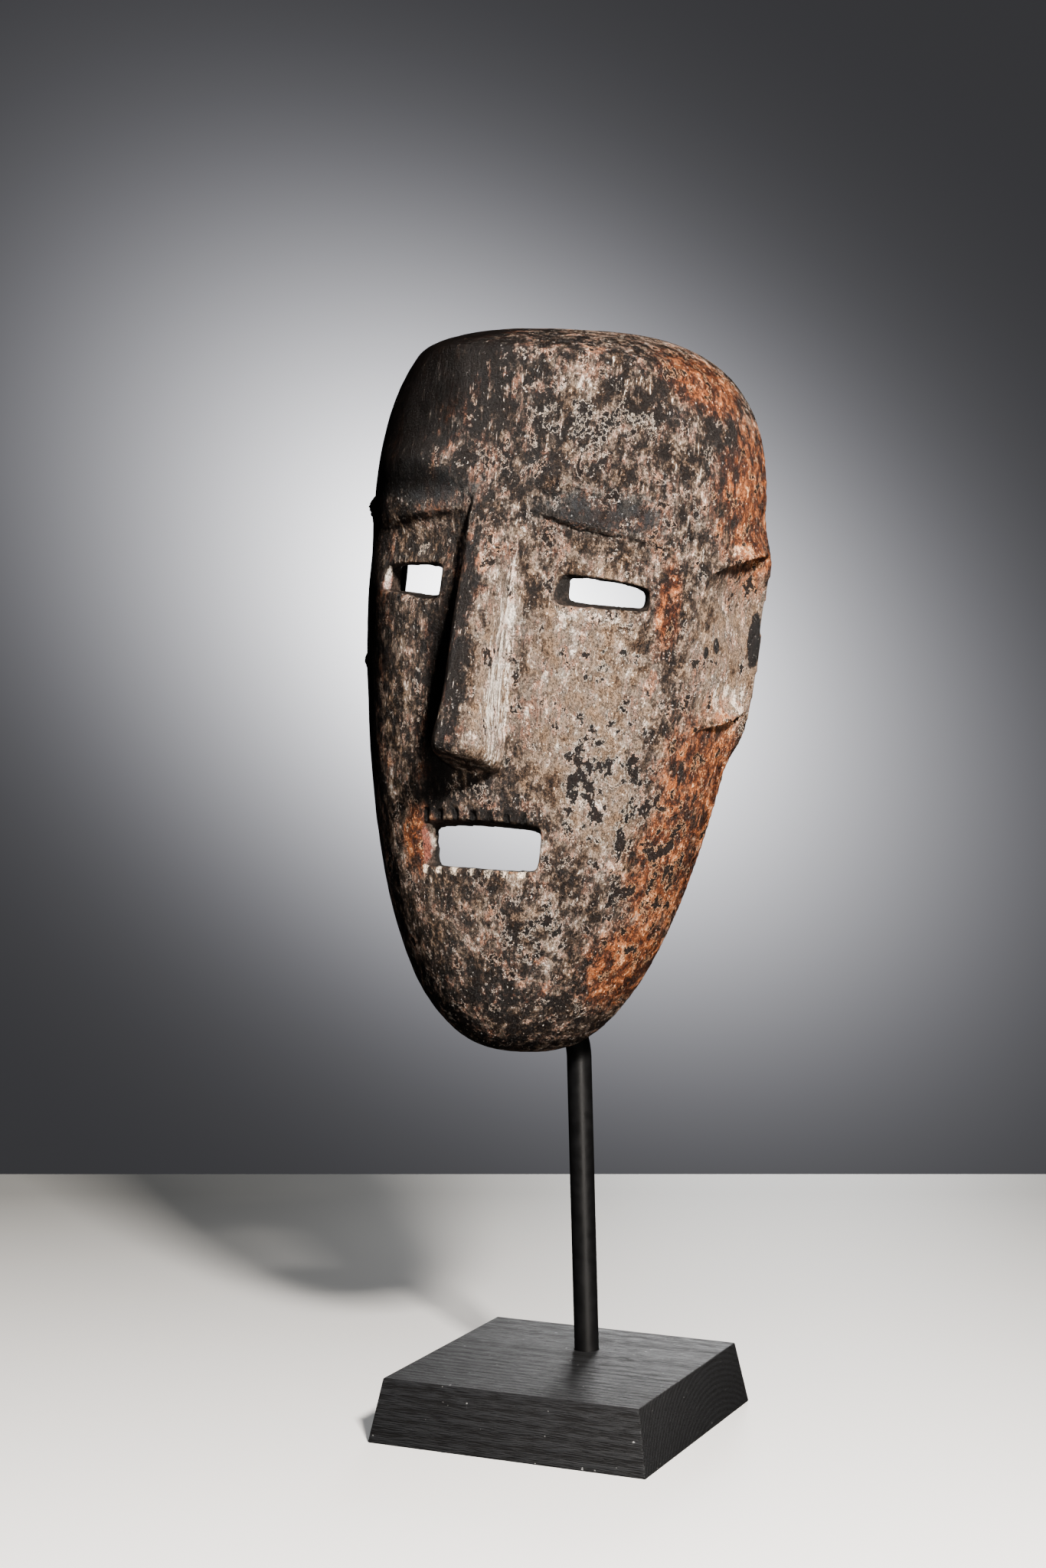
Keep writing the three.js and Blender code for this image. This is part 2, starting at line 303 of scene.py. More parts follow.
def onOuterFace(p):
    side = math.copysign(1, p.x)
    front = max(0, -p.y)
    lift, proud = (ear["lift"], ear["flare"]["farProud"]) if side < 0 else (0, ear["flare"]["proud"])
    return Vector((
        p.x + side * earRelief(front, p.z - lift, proud),
        p.y - faceRelief(p.x, p.z) * smoothstep(front, 0, reliefFade),
        p.z,
    ))


def onInnerFace(p):
    scaleX = 1 - maskShape["rimWall"] / maskShape["outline"]["full"]
    scaleY = 1 - maskShape["faceWall"] / maskShape["profile"]["full"]
    scaleZ = 1 - (maskShape["chinWall"] + maskShape["crownWall"]) / maskShape["height"]
    return Vector((p.x * scaleX, p.y * scaleY, maskShape["chinWall"] + p.z * scaleZ))


# A cube cut into strips, with every point moved by place(point in -1..1)
def shapedBlock(name, place, cuts=0):
    bm = bmesh.new()
    bmesh.ops.create_cube(bm, size=2)
    if cuts:
        bmesh.ops.subdivide_edges(bm, edges=bm.edges, cuts=cuts, use_grid_fill=True)
    for vertex in bm.verts:
        vertex.co = place(vertex.co.copy())
    bm.normal_update()
    bmesh.ops.recalc_face_normals(bm, faces=bm.faces)
    return pieceFrom(bm, name)


def nosePoint(p):
    up = (p.z + 1) / 2
    height = lerp(nose["base"], nose["root"], up ** nose["rowSpread"])
    down = clamp((nose["root"] - height) / (nose["root"] - nose["tip"]), 0, 1)
    under = (1 - clamp((height - nose["base"]) / nose["cornerRound"], 0, 1)) ** 2
    flare = nose["flare"] * (1 - smoothstep(height, nose["tip"], nose["tip"] + nose["flareHeight"]))
    halfWidth = nose["halfWidth"] + flare - nose["underNarrow"] * under
    rounding = (1 - abs(clamp(p.x, -1, 1)) ** nose["squareness"]) ** (1 / nose["squareness"])
    rise = nose["rise"] * down ** nose["riseCurve"] - nose["underDrop"] * under
    foot = domeDepth(nose["axis"], height) - nose["sunk"]
    ahead = (1 - p.y) / 2
    front = foot + (rise + nose["sunk"]) * rounding * ahead
    lift = (nose["tip"] - nose["base"]) * rounding * (1 - up) ** nose["tipCurve"] * ahead
    return Vector((nose["axis"] + p.x * halfWidth, -front, height + lift))


# Sides of an opening at a distance ahead of its own depth: inner, outer, low, high
def openingSides(opening, ahead):
    tanInner, tanOuter, tanLow, tanHigh = [math.tan(math.radians(a)) for a in opening["splay"]]
    tall = max(ahead, opening["tallFrom"])
    return (opening["inner"] - ahead * tanInner, opening["outer"] + ahead * tanOuter,
            opening["low"] - tall * tanLow, opening["high"] + tall * tanHigh)


# A four-sided cutter whose walls splay outwards, with soft corners and an arched top
def splayedCutter(name, opening, side=1):
    def place(p):
        ahead = lerp(cutter["inside"], cutter["outside"], (1 - p.y) / 2)
        inner, outer, low, high = openingSides(opening, ahead)
        corner = 1 - opening["corner"] * (abs(p.x) * abs(p.z)) ** cutter["cornerPower"]
        x = lerp(inner, outer, (p.x * corner + 1) / 2)
        z = lerp(low + opening["innerRise"] * (1 - p.x) / 2, high, (p.z * corner + 1) / 2)
        z += opening["arch"] * (1 - p.x * p.x) * (p.z + 1) / 2 + x * math.tan(math.radians(opening["tilt"]))
        return Vector((opening["axis"] + side * x, -opening["depth"] - ahead, z))

    return shapedBlock(name, place, cutter["cuts"])


# Middles of the slots along the lips, cut by eye and so a little uneven
def notchMiddles():
    for i in range(notch["count"]):
        even = notch["axis"] + (i - (notch["count"] - 1) / 2) * notch["pitch"]
        yield even + notch["uneven"] * math.sin(notch["placeWave"] * i)


# The mouth is cut more level than the mask hangs, so it rises to the right
def lipRise(x):
    return (x - mouth["axis"]) * math.tan(math.radians(mouth["tilt"]))


# Short slots that stand for teeth along both lips
def notchCutters():
    bm = bmesh.new()
    for x in notchMiddles():
        for edge, height in ((mouth["high"], notch["high"]), (mouth["low"], -notch["low"])):
            tall = height * (1 + notch["tallShare"] * notch["uneven"] * math.sin(notch["tallWave"] * x))
            middle = edge + tall / 2 + lipRise(x)
            towardsMouth = -math.copysign(notch["intoMouth"] / 2, height)
            place = Matrix.Translation((x, -domeDepth(x, middle), middle + towardsMouth))
            size = Matrix.Diagonal((notch["width"], 2 * notch["deep"], abs(tall) + notch["intoMouth"], 1))
            bmesh.ops.create_cube(bm, size=1, matrix=place @ size)
    return pieceFrom(bm, "notches")


# A ledge along one side of the mask, whose crest climbs by bow(0 at its front to 1 at the rim)
def ledgePiece(form, bow, side, lift):
    def place(p):
        along = (p.y + 1) / 2
        distance = lerp(form["front"], -ear["beyondRim"], along)
        crestHeight = form["start"] + form["rise"] * bow(along)
        height = crestHeight + (form["run"] * lerp(ear["frontRun"], 1, along) if p.z > 0 else 0)
        surface = domeHalfWidth(max(0, distance), height)
        crestOut = form["proud"] * math.sin(math.pi * lerp(*ear["crestSpan"], along))
        out = ear["seat"] if p.z > 0 else crestOut
        outward = surface + out if p.x > 0 else surface - ear["tuck"]
        return Vector((side * outward, -distance, height + lift))

    bm = bmesh.new()
    bmesh.ops.create_cube(bm, size=2)
    lengthwise = [e for e in bm.edges if abs(e.verts[0].co.y - e.verts[1].co.y) > 1]
    bmesh.ops.subdivide_edges(bm, edges=lengthwise, cuts=ear["steps"])
    for vertex in bm.verts:
        vertex.co = place(vertex.co.copy())
    bm.normal_update()
    bmesh.ops.recalc_face_normals(bm, faces=bm.faces)
    return pieceFrom(bm, "ledge")


def earLedges():
    upper = ear["upper"]
    lower = ear["lower"]
    ledges = []
    for side, lift in ((1, 0), (-1, ear["lift"])):
        ledges.append(ledgePiece(upper, lambda s: 1 - (1 - s) ** upper["bow"], side, lift))
        ledges.append(ledgePiece(lower, lambda s: s ** lower["bow"], side, lift))
    return ledges


# Small holes just in front of the rim
def rimHoleCutters():
    sideways = Matrix.Rotation(math.pi / 2, 4, "Y")
    bm = bmesh.new()
    for side in (1, -1):
        for height in rimHoles["heights"]:
            out = domeHalfWidth(rimHoles["inset"], height)
            middle = Matrix.Translation((side * out, -rimHoles["inset"], height))
            bmesh.ops.create_cone(bm, segments=rimHoles["segments"], cap_ends=True,
                                  radius1=rimHoles["radius"], radius2=rimHoles["radius"],
                                  depth=2 * rimHoles["deep"], matrix=middle @ sideways)
    return pieceFrom(bm, "rimHoles")


# Fine lines in the wood: start and end as (x, height), depth and half width in mm
cracks = (
    ((20, 247), (34, 242.5), 1.3, 1.1),
    ((34, 242.5), (50, 241), 0.9, 0.9),
    ((-27.7, 238.5), (-23, 230), 0.5, 0.7),
    ((-12, 324), (-18, 306), 0.4, 0.7),
    ((9.6, 311), (8.4, 278), 0.35, 0.7),
    ((-50, 330), (20, 331.5), 0.5, 0.9),
    ((-30, 325), (48, 327), 0.4, 0.9),
    ((-18, 319), (22, 320.5), 0.3, 0.8),
)
crackWander = {"aside": 0.8, "turns": 17}


def crackDepth(x, height):
    deepest = 0
    for (x0, z0), (x1, z1), depth, half in cracks:
        runX, runZ = x1 - x0, z1 - z0
        share = clamp(((x - x0) * runX + (height - z0) * runZ) / (runX * runX + runZ * runZ), 0, 1)
        wander = crackWander["aside"] * math.sin(share * crackWander["turns"]) * (1 - share)
        away = math.hypot(x - x0 - share * runX, height - z0 - share * runZ + wander) / half
        if away < 1:
            deepest = max(deepest, depth * (1 - away))
    return deepest


# Marks of the carver's tools in mm, with sizes across, front to back and upright
tooling = {
    "gouges": {"size": (7, 9, 20), "deep": 0.7},
    "facets": {"size": (15, 15, 26), "deep": 0.3},
    "fibres": {"size": (3.2, 3.2, 8), "deep": 0.13},
    "facesBack": 0.15,
    "clearOfRim": 2,
    "crackedFrom": 40,
}


def toolMark(p, mark):
    across, along, upright = mark["size"]
    return mark["deep"] * noise.noise(Vector((p.x / across, p.y / along, p.z / upright)))


# Hand-cut surface: long shallow facets outside, deeper gouge marks inside the hollow
def carvedWaver(p, normal):
    isInside = normal.y > tooling["facesBack"] and p.y < -tooling["clearOfRim"]
    if isInside:
        return abs(toolMark(p, tooling["gouges"])) - tooling["gouges"]["deep"] / 2
    crack = crackDepth(p.x, p.z) if p.y < -tooling["crackedFrom"] else 0
    return toolMark(p, tooling["facets"]) + toolMark(p, tooling["fibres"]) - crack


def maskPlace():
    lean = Matrix.Rotation(-math.radians(maskShape["leanBack"]), 4, "X")
    roll = Matrix.Rotation(math.radians(maskShape["roll"]), 4, "Y")
    toWorld = Matrix.Translation(maskShape["middle"]) @ lean @ roll
    return toWorld @ Matrix.Translation((0, 0, -maskShape["height"] / 2))


wear = {
    "blur": 2,
    "gain": 2.2,
    "centre": (0, 25, 170),
    "flatten": 0.5,
    "bareFrom": 0.1,
    "bareFade": 0.5,
    "cutMargin": 0.9,
    "cutDepth": 1.6,
    "notchMargin": {"side": 0.4, "depth": 1.5, "lower": (-0.5, 0.2), "upper": (-1, 0.8)},
    "notchSearch": (-12, 15),
}


# 1 on the walls of the eyes and the mouth, 0 elsewhere
def onCutWall(p):
    margin = wear["cutMargin"]
    for opening, side in ((eye, 1), (farEye, -1), (mouth, 1)):
        x = (p.x - opening["axis"]) * side
        inner, outer, low, high = openingSides(opening, -p.y - opening["depth"])
        z = p.z - x * math.tan(math.radians(opening["tilt"]))
        isWithin = inner - margin < x < outer + margin and low - margin < z < high + margin + opening["arch"]
        if isWithin and domeDepth(p.x, p.z) + faceRelief(p.x, p.z) + p.y > wear["cutDepth"]:
            return 1.0
    return 0.0


# 1 in the lower notches, which are filled with pale paste, -1 in the upper ones
def inNotch(p):
    below, above = wear["notchSearch"]
    if not mouth["low"] + below < p.z < mouth["high"] + above:
        return 0.0
    margin = wear["notchMargin"]
    lowest, lowTop = margin["lower"]
    highFoot, highest = margin["upper"]
    for x in notchMiddles():
        isBeside = abs(p.x - x) < notch["width"] / 2 + margin["side"]
        if isBeside and domeDepth(p.x, p.z) + p.y < notch["deep"] + margin["depth"]:
            height = p.z - lipRise(x)
            if lowest - notch["low"] < height - mouth["low"] < lowTop:
                return 1.0
            if highFoot < height - mouth["high"] < notch["high"] + highest:
                return -1.0
    return 0.0


# Values on each point that the wood material reads: how sharp an edge is (raised above 0,
# hollow below), and whether the point is on the bare inside, a cut wall or in a notch
def markWear(piece):
    mesh = piece.data
    count = len(mesh.vertices)
    places = np.empty(count * 3)
    mesh.vertices.foreach_get("co", places)
    places = places.reshape(-1, 3)
    normals = np.empty(count * 3)
    mesh.vertices.foreach_get("normal", normals)
    normals = normals.reshape(-1, 3)
    ends = np.empty(len(mesh.edges) * 2, dtype=int)
    mesh.edges.foreach_get("vertices", ends)
    first, second = ends.reshape(-1, 2).T
    both = np.concatenate((first, second))
    others = np.concatenate((second, first))
    share = np.bincount(both, minlength=count)
    step = places[others] - places[both]
    bend = -(step * normals[both]).sum(1) / (step * step).sum(1)
    bend = np.bincount(both, bend, count) / share
    for _ in range(wear["blur"]):
        bend = 0.5 * bend + 0.5 * np.bincount(both, bend[others], count) / share
    outward = places - np.array(wear["centre"])
    outward[:, 2] *= wear["flatten"]
    outward /= np.linalg.norm(outward, axis=1)[:, None]
    facing = (normals * outward).sum(1)
    marks = {
        "edge": np.clip(bend * wear["gain"], -1, 1),
        "bare": np.clip((wear["bareFrom"] - facing) / wear["bareFade"], 0, 1),
        "cut": np.array([onCutWall(v.co) for v in mesh.vertices]),
        "notch": np.array([inNotch(v.co) for v in mesh.vertices]),
    }
    for name, values in marks.items():
        layer = mesh.attributes.new(name, "FLOAT", "POINT")
        layer.data.foreach_set("value", values)


def buildMask():
    mask = domePiece("carvedMask", onOuterFace, maskShape["outerFineness"])
    combine(mask, [shapedBlock("noseBlock", nosePoint, nose["cuts"]), *earLedges()], "UNION")
    print("mask: face, nose and ears joined")
    behindRim = shapedBlock("behindRim", lambda p: rimCut["middle"] + p * rimCut["half"])
    inner = domePiece("inner", onInnerFace, maskShape["innerFineness"])
    eyes = [splayedCutter("nearEyeCut", eye), splayedCutter("farEyeCut", farEye, -1)]
    lips = splayedCutter("mouthCut", mouth)
    combine(mask, [behindRim, inner, *eyes, lips, notchCutters()], "DIFFERENCE")
    print("mask: hollow, eyes and mouth cut")
    remesh = mask.modifiers.new("clayLike", "REMESH")
    remesh.mode = "VOXEL"
    remesh.voxel_size = maskShape["voxel"]
    bakeModifiers(mask)
    bm = bmesh.new()
    bm.from_mesh(mask.data)
    for _ in range(maskShape["smoothing"]):
        bmesh.ops.smooth_vert(bm, verts=bm.verts, factor=0.5,
                              use_axis_x=True, use_axis_y=True, use_axis_z=True)
    bm.normal_update()
    for vertex in bm.verts:
        vertex.co += vertex.normal * carvedWaver(vertex.co, vertex.normal)
    bm.to_mesh(mask.data)
    bm.free()
    print("mask: edges worn and tool marks laid,", len(mask.data.vertices), "points")
    combine(mask, [rimHoleCutters()], "DIFFERENCE")
    thin = mask.modifiers.new("thin", "DECIMATE")
    triangles = sum(len(face.vertices) - 2 for face in mask.data.polygons)
    thin.ratio = min(1, maskShape["triangles"] / triangles)
    bakeModifiers(mask)
    markWear(mask)
    mask.data.transform(Matrix.Scale(metresPerMm, 4) @ maskPlace())
    mask.data.shade_smooth()
    print("mask:", len(mask.data.polygons), "faces")
    return mask


mask = buildMask()
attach(mask, "root")
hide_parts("mask")


# Each tone of the patina as plain wood, greyed by dust, and rubbed with red earth
patina = {
    "skin": ("#120d0b", "#121416", "#251009"),
    "wood": ("#3d2d21", "#302e2c", "#552913"),
    "tan": ("#8c7159", "#6d6964", "#97552b"),
    "cream": ("#f1ddc5", "#d9d5d0", "#edb98c"),
    "blot": ("#0b0909", "#0c0d0f", "#170c07"),
    "slate": ("#262422", "#212427", "#2f2623"),
    # Near black for smoke-darkened wood and for painted shade on the far side of the face
    "sootAndShade": ("#040303", "#060606", "#0c0705"),
    "speck": ("#efe6db", "#e6e6e6", "#efe0cf"),
    "bare": ("#282018", "#272420", "#3a2f24"),
    "cut": ("#130f0c", "#0e0d0c", "#483b33"),
    "blush": ("#cebfae", "#c0b9b1", "#844c3d"),
    "stripe": ("#efe2d2", "#e4e0da", "#b5794f"),
    "lip": ("#8c5d3b", "#8f6b4a", "#99592b"),
}

# Each pattern: width in mm, height against width, detail, roughness
patinaGrains = {
    "region": (30, 1.4, 5, 0.65),
    "blotch": (7.5, 1.2, 9, 0.66),
    "flake": (6, 1.35, 12, 0.76),
    "tone": (15, 1.6, 8, 0.7),
    "speck": (1.7, 1.3, 8, 0.8),
    "streak": (1.3, 9, 5, 0.62),
    "pore": (0.9, 1.3, 5, 0.7),
}

# Soft ovals on the mask where one colour of the patina gathers, or where painted shade and a painted
# highlight lie: centre and reach in mm
patinaPlaces = {
    # Darker patina, with painted shade under the near ear's upper ledge, under the nose and over the far brow
    # and forehead
    "darkPatinaAndShade": (
        ((0, -50, 18), (60, 50, 30)), ((86, -42, 290), (12, 18, 24)), ((-8, -80, 326), (46, 50, 20)),
        ((10, -85, 116), (26, 30, 14)), ((-6, -88, 288), (40, 40, 36)), ((10, -85, 300), (84, 60, 40)),
        ((92, -22, 233), (9, 18, 5)), ((-56, -66, 312), (50, 66, 56)), ((-54, -70, 262), (34, 50, 12)),
    ),
    "ridge": (((-9, -108, 190), (8, 22, 76)),),
    # Smoke-darkened wood on the left forehead, with painted shade over the far cheek and brow and a painted
    # shadow of the nose on its left
    "smokeAndShade": (
        ((-58, -66, 314), (58, 72, 62)), ((-56, -70, 262), (36, 50, 12)), ((-94, -40, 190), (43, 68, 128)),
        ((-26, -84, 150), (13, 26, 90)),
    ),
    "ochre": (
        ((96, -16, 275), (20, 34, 48)), ((86, -20, 132), (24, 34, 40)), ((76, -22, 96), (24, 32, 36)),
        ((60, -22, 48), (26, 30, 26)), ((74, -40, 316), (28, 32, 18)), ((74, -57, 214), (5, 14, 20)),
        ((-36, -62, 96), (10, 20, 18)),
    ),
    "pale": (
        ((42, -70, 170), (30, 40, 60)), ((90, -14, 200), (24, 36, 38)), ((8, -90, 170), (8, 30, 50)),
        ((52, -60, 120), (22, 24, 30)),
    ),
    "slate": (((46, -80, 251), (42, 24, 11)), ((-42, -80, 258), (34, 24, 12))),
    "chips": (
        ((97, -4, 206), (4, 6, 17)), ((89, -30, 200), (2.2, 3.5, 5.5)), ((86, -36, 196), (1.6, 2.5, 4)),
    ),
    "blush": (((-36, -62, 96), (9, 20, 16)), ((-67.5, -59, 215), (2.6, 3, 9))),
    "islands": (
        ((54, -62, 196), (12, 20, 22)), ((52, -62, 140), (20, 26, 34)), ((66, -40, 104), (22, 34, 40)),
        ((40, -70, 60), (30, 30, 20)), ((36, -80, 292), (30, 40, 16)),
    ),
    "stripe": (((9, -86, 175), (4, 12, 56)),),
    # Pale chalky wear, and a painted highlight of cream flecks on the front of the crown
    "chalkAndHighlight": (
        ((97, -25, 243), (8, 14, 4)), ((92, -14, 174), (10, 24, 12)), ((45, -74, 205), (26, 14, 3)),
        ((31, -88, 306), (12, 14, 15)),
    ),
}
ovalEdge = (1.8, 0.9)  # where an oval starts and is whole, as a share of its reach, plus the waver

crust = {"flake": 0.75, "tone": 0.35, "speck": 0.35, "streak": 0.15}
crustPlaces = {"darkPatinaAndShade": -0.05, "ridge": -0.1, "smokeAndShade": -0.07, "chalkAndHighlight": 0.07}
island = {"blotch": 1.0, "tone": 0.3, "speck": 0.3}

# How much of the surface each tone covers: weights of the patterns, weights of the places, and
# the two levels of their sum between which the tone goes from nothing to whole
patinaShares = {
    "wood": (crust, {**crustPlaces, "pale": 0.11}, 0.745, 0.775),
    "tan": (crust, {**crustPlaces, "pale": 0.09}, 0.79, 0.85),
    "cream": (crust, {**crustPlaces, "pale": 0.02}, 0.88, 0.94),
    "ochre": ({"blotch": 0.45, "tone": 0.4, "flake": 0.2, "streak": 0.2}, {"ochre": 0.13}, 0.63, 0.74),
    "dust": ({"tone": 0.6, "blotch": 0.4, "flake": 0.3}, {"slate": 0.1}, 0.58, 0.72),
    "halo": (island, {"islands": 0.07, "smokeAndShade": -0.06, "ridge": -0.06}, 0.885, 0.9),
    "blot": (island, {"islands": 0.07, "smokeAndShade": -0.06}, 0.905, 0.915),
    "slate": ({"tone": 0.3, "flake": 0.7, "speck": 0.3}, {"slate": 0.15}, 0.78, 0.82),
    "chip": ({"flake": 0.5, "speck": 0.4}, {"chips": 0.5}, 0.8, 0.84),
    # Smoke-darkened wood and painted shade, gathered mostly over the far side of the face
    "sootAndShade": ({"tone": 0.6, "flake": 0.4}, {"smokeAndShade": 0.64}, 0.7, 1.2),
    "speck": ({"speck": 1.0}, {"chalkAndHighlight": 0.02, "smokeAndShade": -0.02}, 0.62, 0.645),
    "pore": ({"pore": 1.0}, {}, 0.47, 0.4),
    "blush": ({"flake": 0.6}, {"blush": 0.8}, 0.5, 0.6),
    "stripe": ({"streak": 0.9, "flake": 0.4}, {"stripe": 0.2}, 0.78, 0.86),
}

# Which values on the points the wood reads, and the levels where each starts and is whole
pointShares = {
    "raised": ("edge", 0.3, 0.9),
    "hollow": ("edge", -0.2, -0.8),
    "pasted": ("notch", 0.35, 0.8),
    "slotted": ("notch", -0.35, -0.8),
}
patinaFinish = {
    "patternShift": (31, 17, 0),  # keeps the patterns apart
    "veins": 0.011,
    "poreShade": 0.25,
    "roughness": (0.34, 0.6),  # polished skin, worn wood
    "bareRougher": 0.3,
    "gloss": (0.2, 0.06),  # clean, smoke-dark and in painted shade
    "relief": {"pore": 0.8, "streak": 0.4, "flake": 0.8},
    "blotRelief": -0.3,
    "reliefHeight": 0.0013,
}


# 0 to 1 inside any of the ovals, with its edge broken up by waver
def gathered(tree, millimetres, ovals, waver):
    start, whole = ovalEdge
    total = None
    for centre, reach in ovals:
        away = addNode(tree, "ShaderNodeVectorMath", {"operation": "SUBTRACT"}, {0: millimetres, 1: centre})
        scaled = addNode(tree, "ShaderNodeVectorMath", {"operation": "DIVIDE"},
                         {0: away.outputs[0], 1: reach})
        length = addNode(tree, "ShaderNodeVectorMath", {"operation": "LENGTH"}, {0: scaled.outputs[0]})
        ragged = addNode(tree, "ShaderNodeMath", {"operation": "ADD"}, {0: length.outputs["Value"], 1: waver})
        inside = addNode(tree, "ShaderNodeMapRange", {"interpolation_type": "SMOOTHSTEP"},
                         {"Value": ragged.outputs[0], "From Min": start, "From Max": whole})
        share = inside.outputs["Result"]
        if total is not None:
            larger = addNode(tree, "ShaderNodeMath", {"operation": "MAXIMUM"}, {0: total, 1: share})
            share = larger.outputs[0]
        total = share
    return total


# The patterns of the patina by name, each as a noise stretched along the height of the mask
def patinaPatterns(tree, millimetres):
    shiftAcross, shiftBack, shiftUp = patinaFinish["patternShift"]
    patterns = {}
    for order, (name, (width, tall, detail, rough)) in enumerate(patinaGrains.items()):
        shift = (shiftAcross * order, shiftBack * order, shiftUp * order)
        stretched = addNode(tree, "ShaderNodeMapping", None,
                            {"Vector": millimetres, "Location": shift,
                             "Scale": (1 / width, 1 / width, 1 / (width * tall))})
        pattern = addNode(tree, "ShaderNodeTexNoise", None,
                          {"Vector": stretched.outputs["Vector"], "Scale": 1, "Detail": detail,
                           "Roughness": rough})
        patterns[name] = pattern.outputs["Fac"]
    return patterns


# Carved hardwood, oiled and handled for decades: dark polished skin worn through in ragged
# flakes to tan and ochre wood, so the eye reads crisp vertical blotches and broken glints
def wornHardwood():
    material = emptyMaterial("carvedHardwoodWornPatina")
    tree = material.node_tree
    toMask = maskPlace().inverted()
    place = addNode(tree, "ShaderNodeTexCoord")
    mapping = addNode(tree, "ShaderNodeMapping", None,
                      {"Vector": place.outputs["Object"], "Location": toMask.to_translation(),
                       "Rotation": toMask.to_euler(), "Scale": (1000, 1000, 1000)})
    millimetres = mapping.outputs["Vector"]
    grain = patinaPatterns(tree, millimetres)
    gather = {}
    for name, ovals in patinaPlaces.items():
        gather[name] = gathered(tree, millimetres, ovals, grain["region"])

    share = {}
    for name, (patterns, places, low, high) in patinaShares.items():
        terms = [(grain[key], weight) for key, weight in patterns.items()]
        terms += [(gather[key], weight) for key, weight in places.items()]
        level = addNode(tree, "ShaderNodeMapRange", None,
                        {"Value": weightedSum(tree, terms), "From Min": low, "From Max": high})
        share[name] = level.outputs["Result"]

    point = {}
    for name in ("edge", "bare", "cut", "notch"):
        point[name] = addNode(tree, "ShaderNodeAttribute", {"attribute_name": name}).outputs["Fac"]
    marked = {}
    for name, (source, start, whole) in pointShares.items():
        level = addNode(tree, "ShaderNodeMapRange", None,
                        {"Value": point[source], "From Min": start, "From Max": whole})
        marked[name] = level.outputs["Result"]
    # Tones that show only where two shares meet
    meetings = {
        "lip": (marked["raised"], share["tan"]),
        "blush": (share["blush"], point["cut"]),
        "filled": (marked["pasted"], share["wood"]),
    }
    meeting = {}
    for name, (first, second) in meetings.items():
        both = addNode(tree, "ShaderNodeMath", {"operation": "MULTIPLY"}, {0: first, 1: second})
        meeting[name] = both.outputs[0]

    colours = {}
    for name, codes in patina.items():
        plain, greyed, earth = [linearColour(code) for code in codes]
        dusted = addNode(tree, "ShaderNodeMixRGB", None,
                         {"Fac": share["dust"], "Color1": plain, "Color2": greyed})
        rubbed = addNode(tree, "ShaderNodeMixRGB", None,
                         {"Fac": share["ochre"], "Color1": dusted.outputs["Color"], "Color2": earth})
        colours[name] = rubbed.outputs["Color"]
    darkest = linearColour(patina["skin"][0])
    layers = [
        (share["wood"], colours["wood"]),
        (share["tan"], colours["tan"]),
        (share["cream"], colours["cream"]),
        (share["halo"], colours["cream"]),
        (share["stripe"], colours["stripe"]),
        (share["slate"], colours["slate"]),
        (share["blot"], colours["blot"]),
        (share["chip"], colours["blot"]),
        (meeting["lip"], colours["lip"]),
        (share["speck"], colours["speck"]),
        # Smoke-darkened wood and painted shade: the far side of the face and the painted shadow left of the
        # nose go near black
        (share["sootAndShade"], colours["sootAndShade"]),
        # Painted shade: the most hollow points take the darkest tone
        (marked["hollow"], darkest),
        (point["bare"], colours["bare"]),
        (point["cut"], colours["cut"]),
        (meeting["blush"], colours["blush"]),
        (meeting["filled"], linearColour(patina["cream"][0])),
        # Painted shade: the slots of the upper notches are painted near black
        (marked["slotted"], linearColour(patina["sootAndShade"][0])),
    ]
    # Hairline cracks follow the level lines of the fine patterns
    for name in ("speck", "flake"):
        vein = addNode(tree, "ShaderNodeMath", {"operation": "COMPARE"},
                       {0: grain[name], 1: 0.5, 2: patinaFinish["veins"]})
        layers.append((vein.outputs[0], darkest))
    colour = colours["skin"]
    for cover, paint in layers:
        mixed = addNode(tree, "ShaderNodeMixRGB", None, {"Fac": cover, "Color1": colour, "Color2": paint})
        colour = mixed.outputs["Color"]
    poreShade = addNode(tree, "ShaderNodeMapRange", None,
                        {"Value": share["pore"], "To Min": 1.0, "To Max": patinaFinish["poreShade"]})
    shaded = addNode(tree, "ShaderNodeMixRGB", {"blend_type": "MULTIPLY"},
                     {"Fac": 1.0, "Color1": colour, "Color2": poreShade.outputs["Result"]})

    polished, worn = patinaFinish["roughness"]
    polish = addNode(tree, "ShaderNodeMapRange", None,
                     {"Value": share["tan"], "To Min": polished, "To Max": worn})
    dull = addNode(tree, "ShaderNodeMath", {"operation": "MULTIPLY_ADD", "use_clamp": True},
                   {0: point["bare"], 1: patinaFinish["bareRougher"], 2: polish.outputs["Result"]})
    heights = [(share["blot"], patinaFinish["blotRelief"])]
    heights += [(grain[name], weight) for name, weight in patinaFinish["relief"].items()]
    bump = addNode(tree, "ShaderNodeBump", None,
                   {"Height": weightedSum(tree, heights), "Strength": 1.0,
                    "Distance": patinaFinish["reliefHeight"]})
    clean, sootyAndShaded = patinaFinish["gloss"]
    sheen = addNode(tree, "ShaderNodeMapRange", None,
                    {"Value": share["sootAndShade"], "To Min": clean, "To Max": sootyAndShaded})
    shader = addNode(tree, "ShaderNodeBsdfPrincipled", None,
                     {"Base Color": shaded.outputs["Color"], "Roughness": dull.outputs[0],
                      "Specular IOR Level": sheen.outputs["Result"], "Normal": bump.outputs["Normal"],
                      "IOR": 1.5})
    addNode(tree, "ShaderNodeOutputMaterial", None, {"Surface": shader.outputs["BSDF"]})
    return material


mask.data.materials.clear()
mask.data.materials.append(wornHardwood())
print("patina laid")


